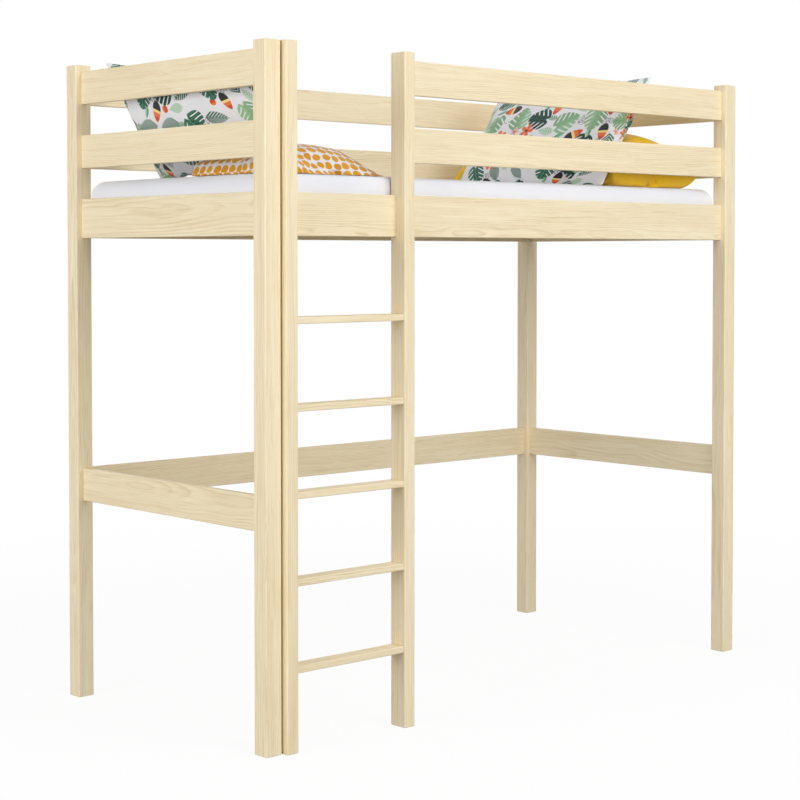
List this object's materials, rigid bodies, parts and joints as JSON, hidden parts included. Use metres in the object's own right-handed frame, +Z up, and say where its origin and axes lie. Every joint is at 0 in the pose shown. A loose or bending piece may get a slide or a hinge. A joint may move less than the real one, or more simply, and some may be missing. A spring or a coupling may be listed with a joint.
{
  "type": "loft bed with ladder",
  "caption": "High single bed on four square posts, with slatted base, guard boards all round, a fixed straight ladder at the front left, a mattress and pillows; open space below.",
  "frame": {"origin": "on the floor, in the middle of the footprint of posts and ladder", "axes": "+X along the bed towards the end away from the ladder, +Y from the ladder side to the back, +Z up"},
  "size_m": [2.084, 1.022, 1.98],
  "materials": {
    "pine": "satin",
    "slat_pine": "matte",
    "mattress_cover": "matte",
    "leaf_print": "matte",
    "dot_print": "matte",
    "mustard_cotton": "matte",
    "zinc_steel": "satin"
  },
  "bodies": {
    "frame": {"post_front_left": "pine", "post_front_right": "pine", "post_back_left": "pine", "post_back_right": "pine", "side_rail_front": "pine", "side_rail_back": "pine", "end_rail_left": "pine", "end_rail_right": "pine", "guard_front_lower": "pine", "guard_front_upper": "pine", "guard_back_lower": "pine", "guard_back_upper": "pine", "guard_left_lower": "pine", "guard_left_upper": "pine", "guard_right_lower": "pine", "guard_right_upper": "pine", "stretcher_back": "pine", "stretcher_left": "pine", "stretcher_right": "pine", "ladder_stile_left": "pine", "ladder_stile_right": "pine", "rung_1": "pine", "rung_2": "pine", "rung_3": "pine", "rung_4": "pine", "rung_5": "pine", "ledger_front": "slat_pine", "ledger_back": "slat_pine", "slat_01": "slat_pine", "slat_02": "slat_pine", "slat_03": "slat_pine", "slat_04": "slat_pine", "slat_05": "slat_pine", "slat_06": "slat_pine", "slat_07": "slat_pine", "slat_08": "slat_pine", "slat_09": "slat_pine", "slat_10": "slat_pine", "slat_11": "slat_pine", "slat_12": "slat_pine", "slat_13": "slat_pine", "slat_14": "slat_pine", "bolt_side_rail_front_left": "zinc_steel", "bolt_side_rail_front_right": "zinc_steel", "bolt_side_rail_back_left": "zinc_steel", "bolt_side_rail_back_right": "zinc_steel", "bolt_end_rail_left_front": "zinc_steel", "bolt_end_rail_left_back": "zinc_steel", "bolt_end_rail_right_front": "zinc_steel", "bolt_end_rail_right_back": "zinc_steel", "bolt_ladder_left_lower": "zinc_steel", "bolt_ladder_left_upper": "zinc_steel", "bolt_ladder_right_lower": "zinc_steel", "bolt_ladder_right_upper": "zinc_steel"},
    "mattress": {"mattress": "mattress_cover"},
    "pillow_leaf_left": {"pillow_leaf_left": "leaf_print"},
    "pillow_dots": {"pillow_dots": "dot_print"},
    "pillow_mustard": {"pillow_mustard": "mustard_cotton"},
    "pillow_leaf_right": {"pillow_leaf_right": "leaf_print"}
  },
  "joints": [
    {"name": "mattress_lift", "type": "slide", "parent": "frame", "child": "mattress", "axis": [0, 0, 1], "range_m": [0, 0.5]},
    {"name": "leaf_left_lift", "type": "slide", "parent": "mattress", "child": "pillow_leaf_left", "axis": [0, 0, 1], "range_m": [0, 0.4]},
    {"name": "dots_slide", "type": "slide", "parent": "mattress", "child": "pillow_dots", "axis": [1, 0, 0], "range_m": [0, 0.3]},
    {"name": "mustard_lift", "type": "slide", "parent": "mattress", "child": "pillow_mustard", "axis": [0, 0, 1], "range_m": [0, 0.4]},
    {"name": "leaf_right_lift", "type": "slide", "parent": "pillow_mustard", "child": "pillow_leaf_right", "axis": [0, 0, 1], "range_m": [0, 0.4]}
  ]
}
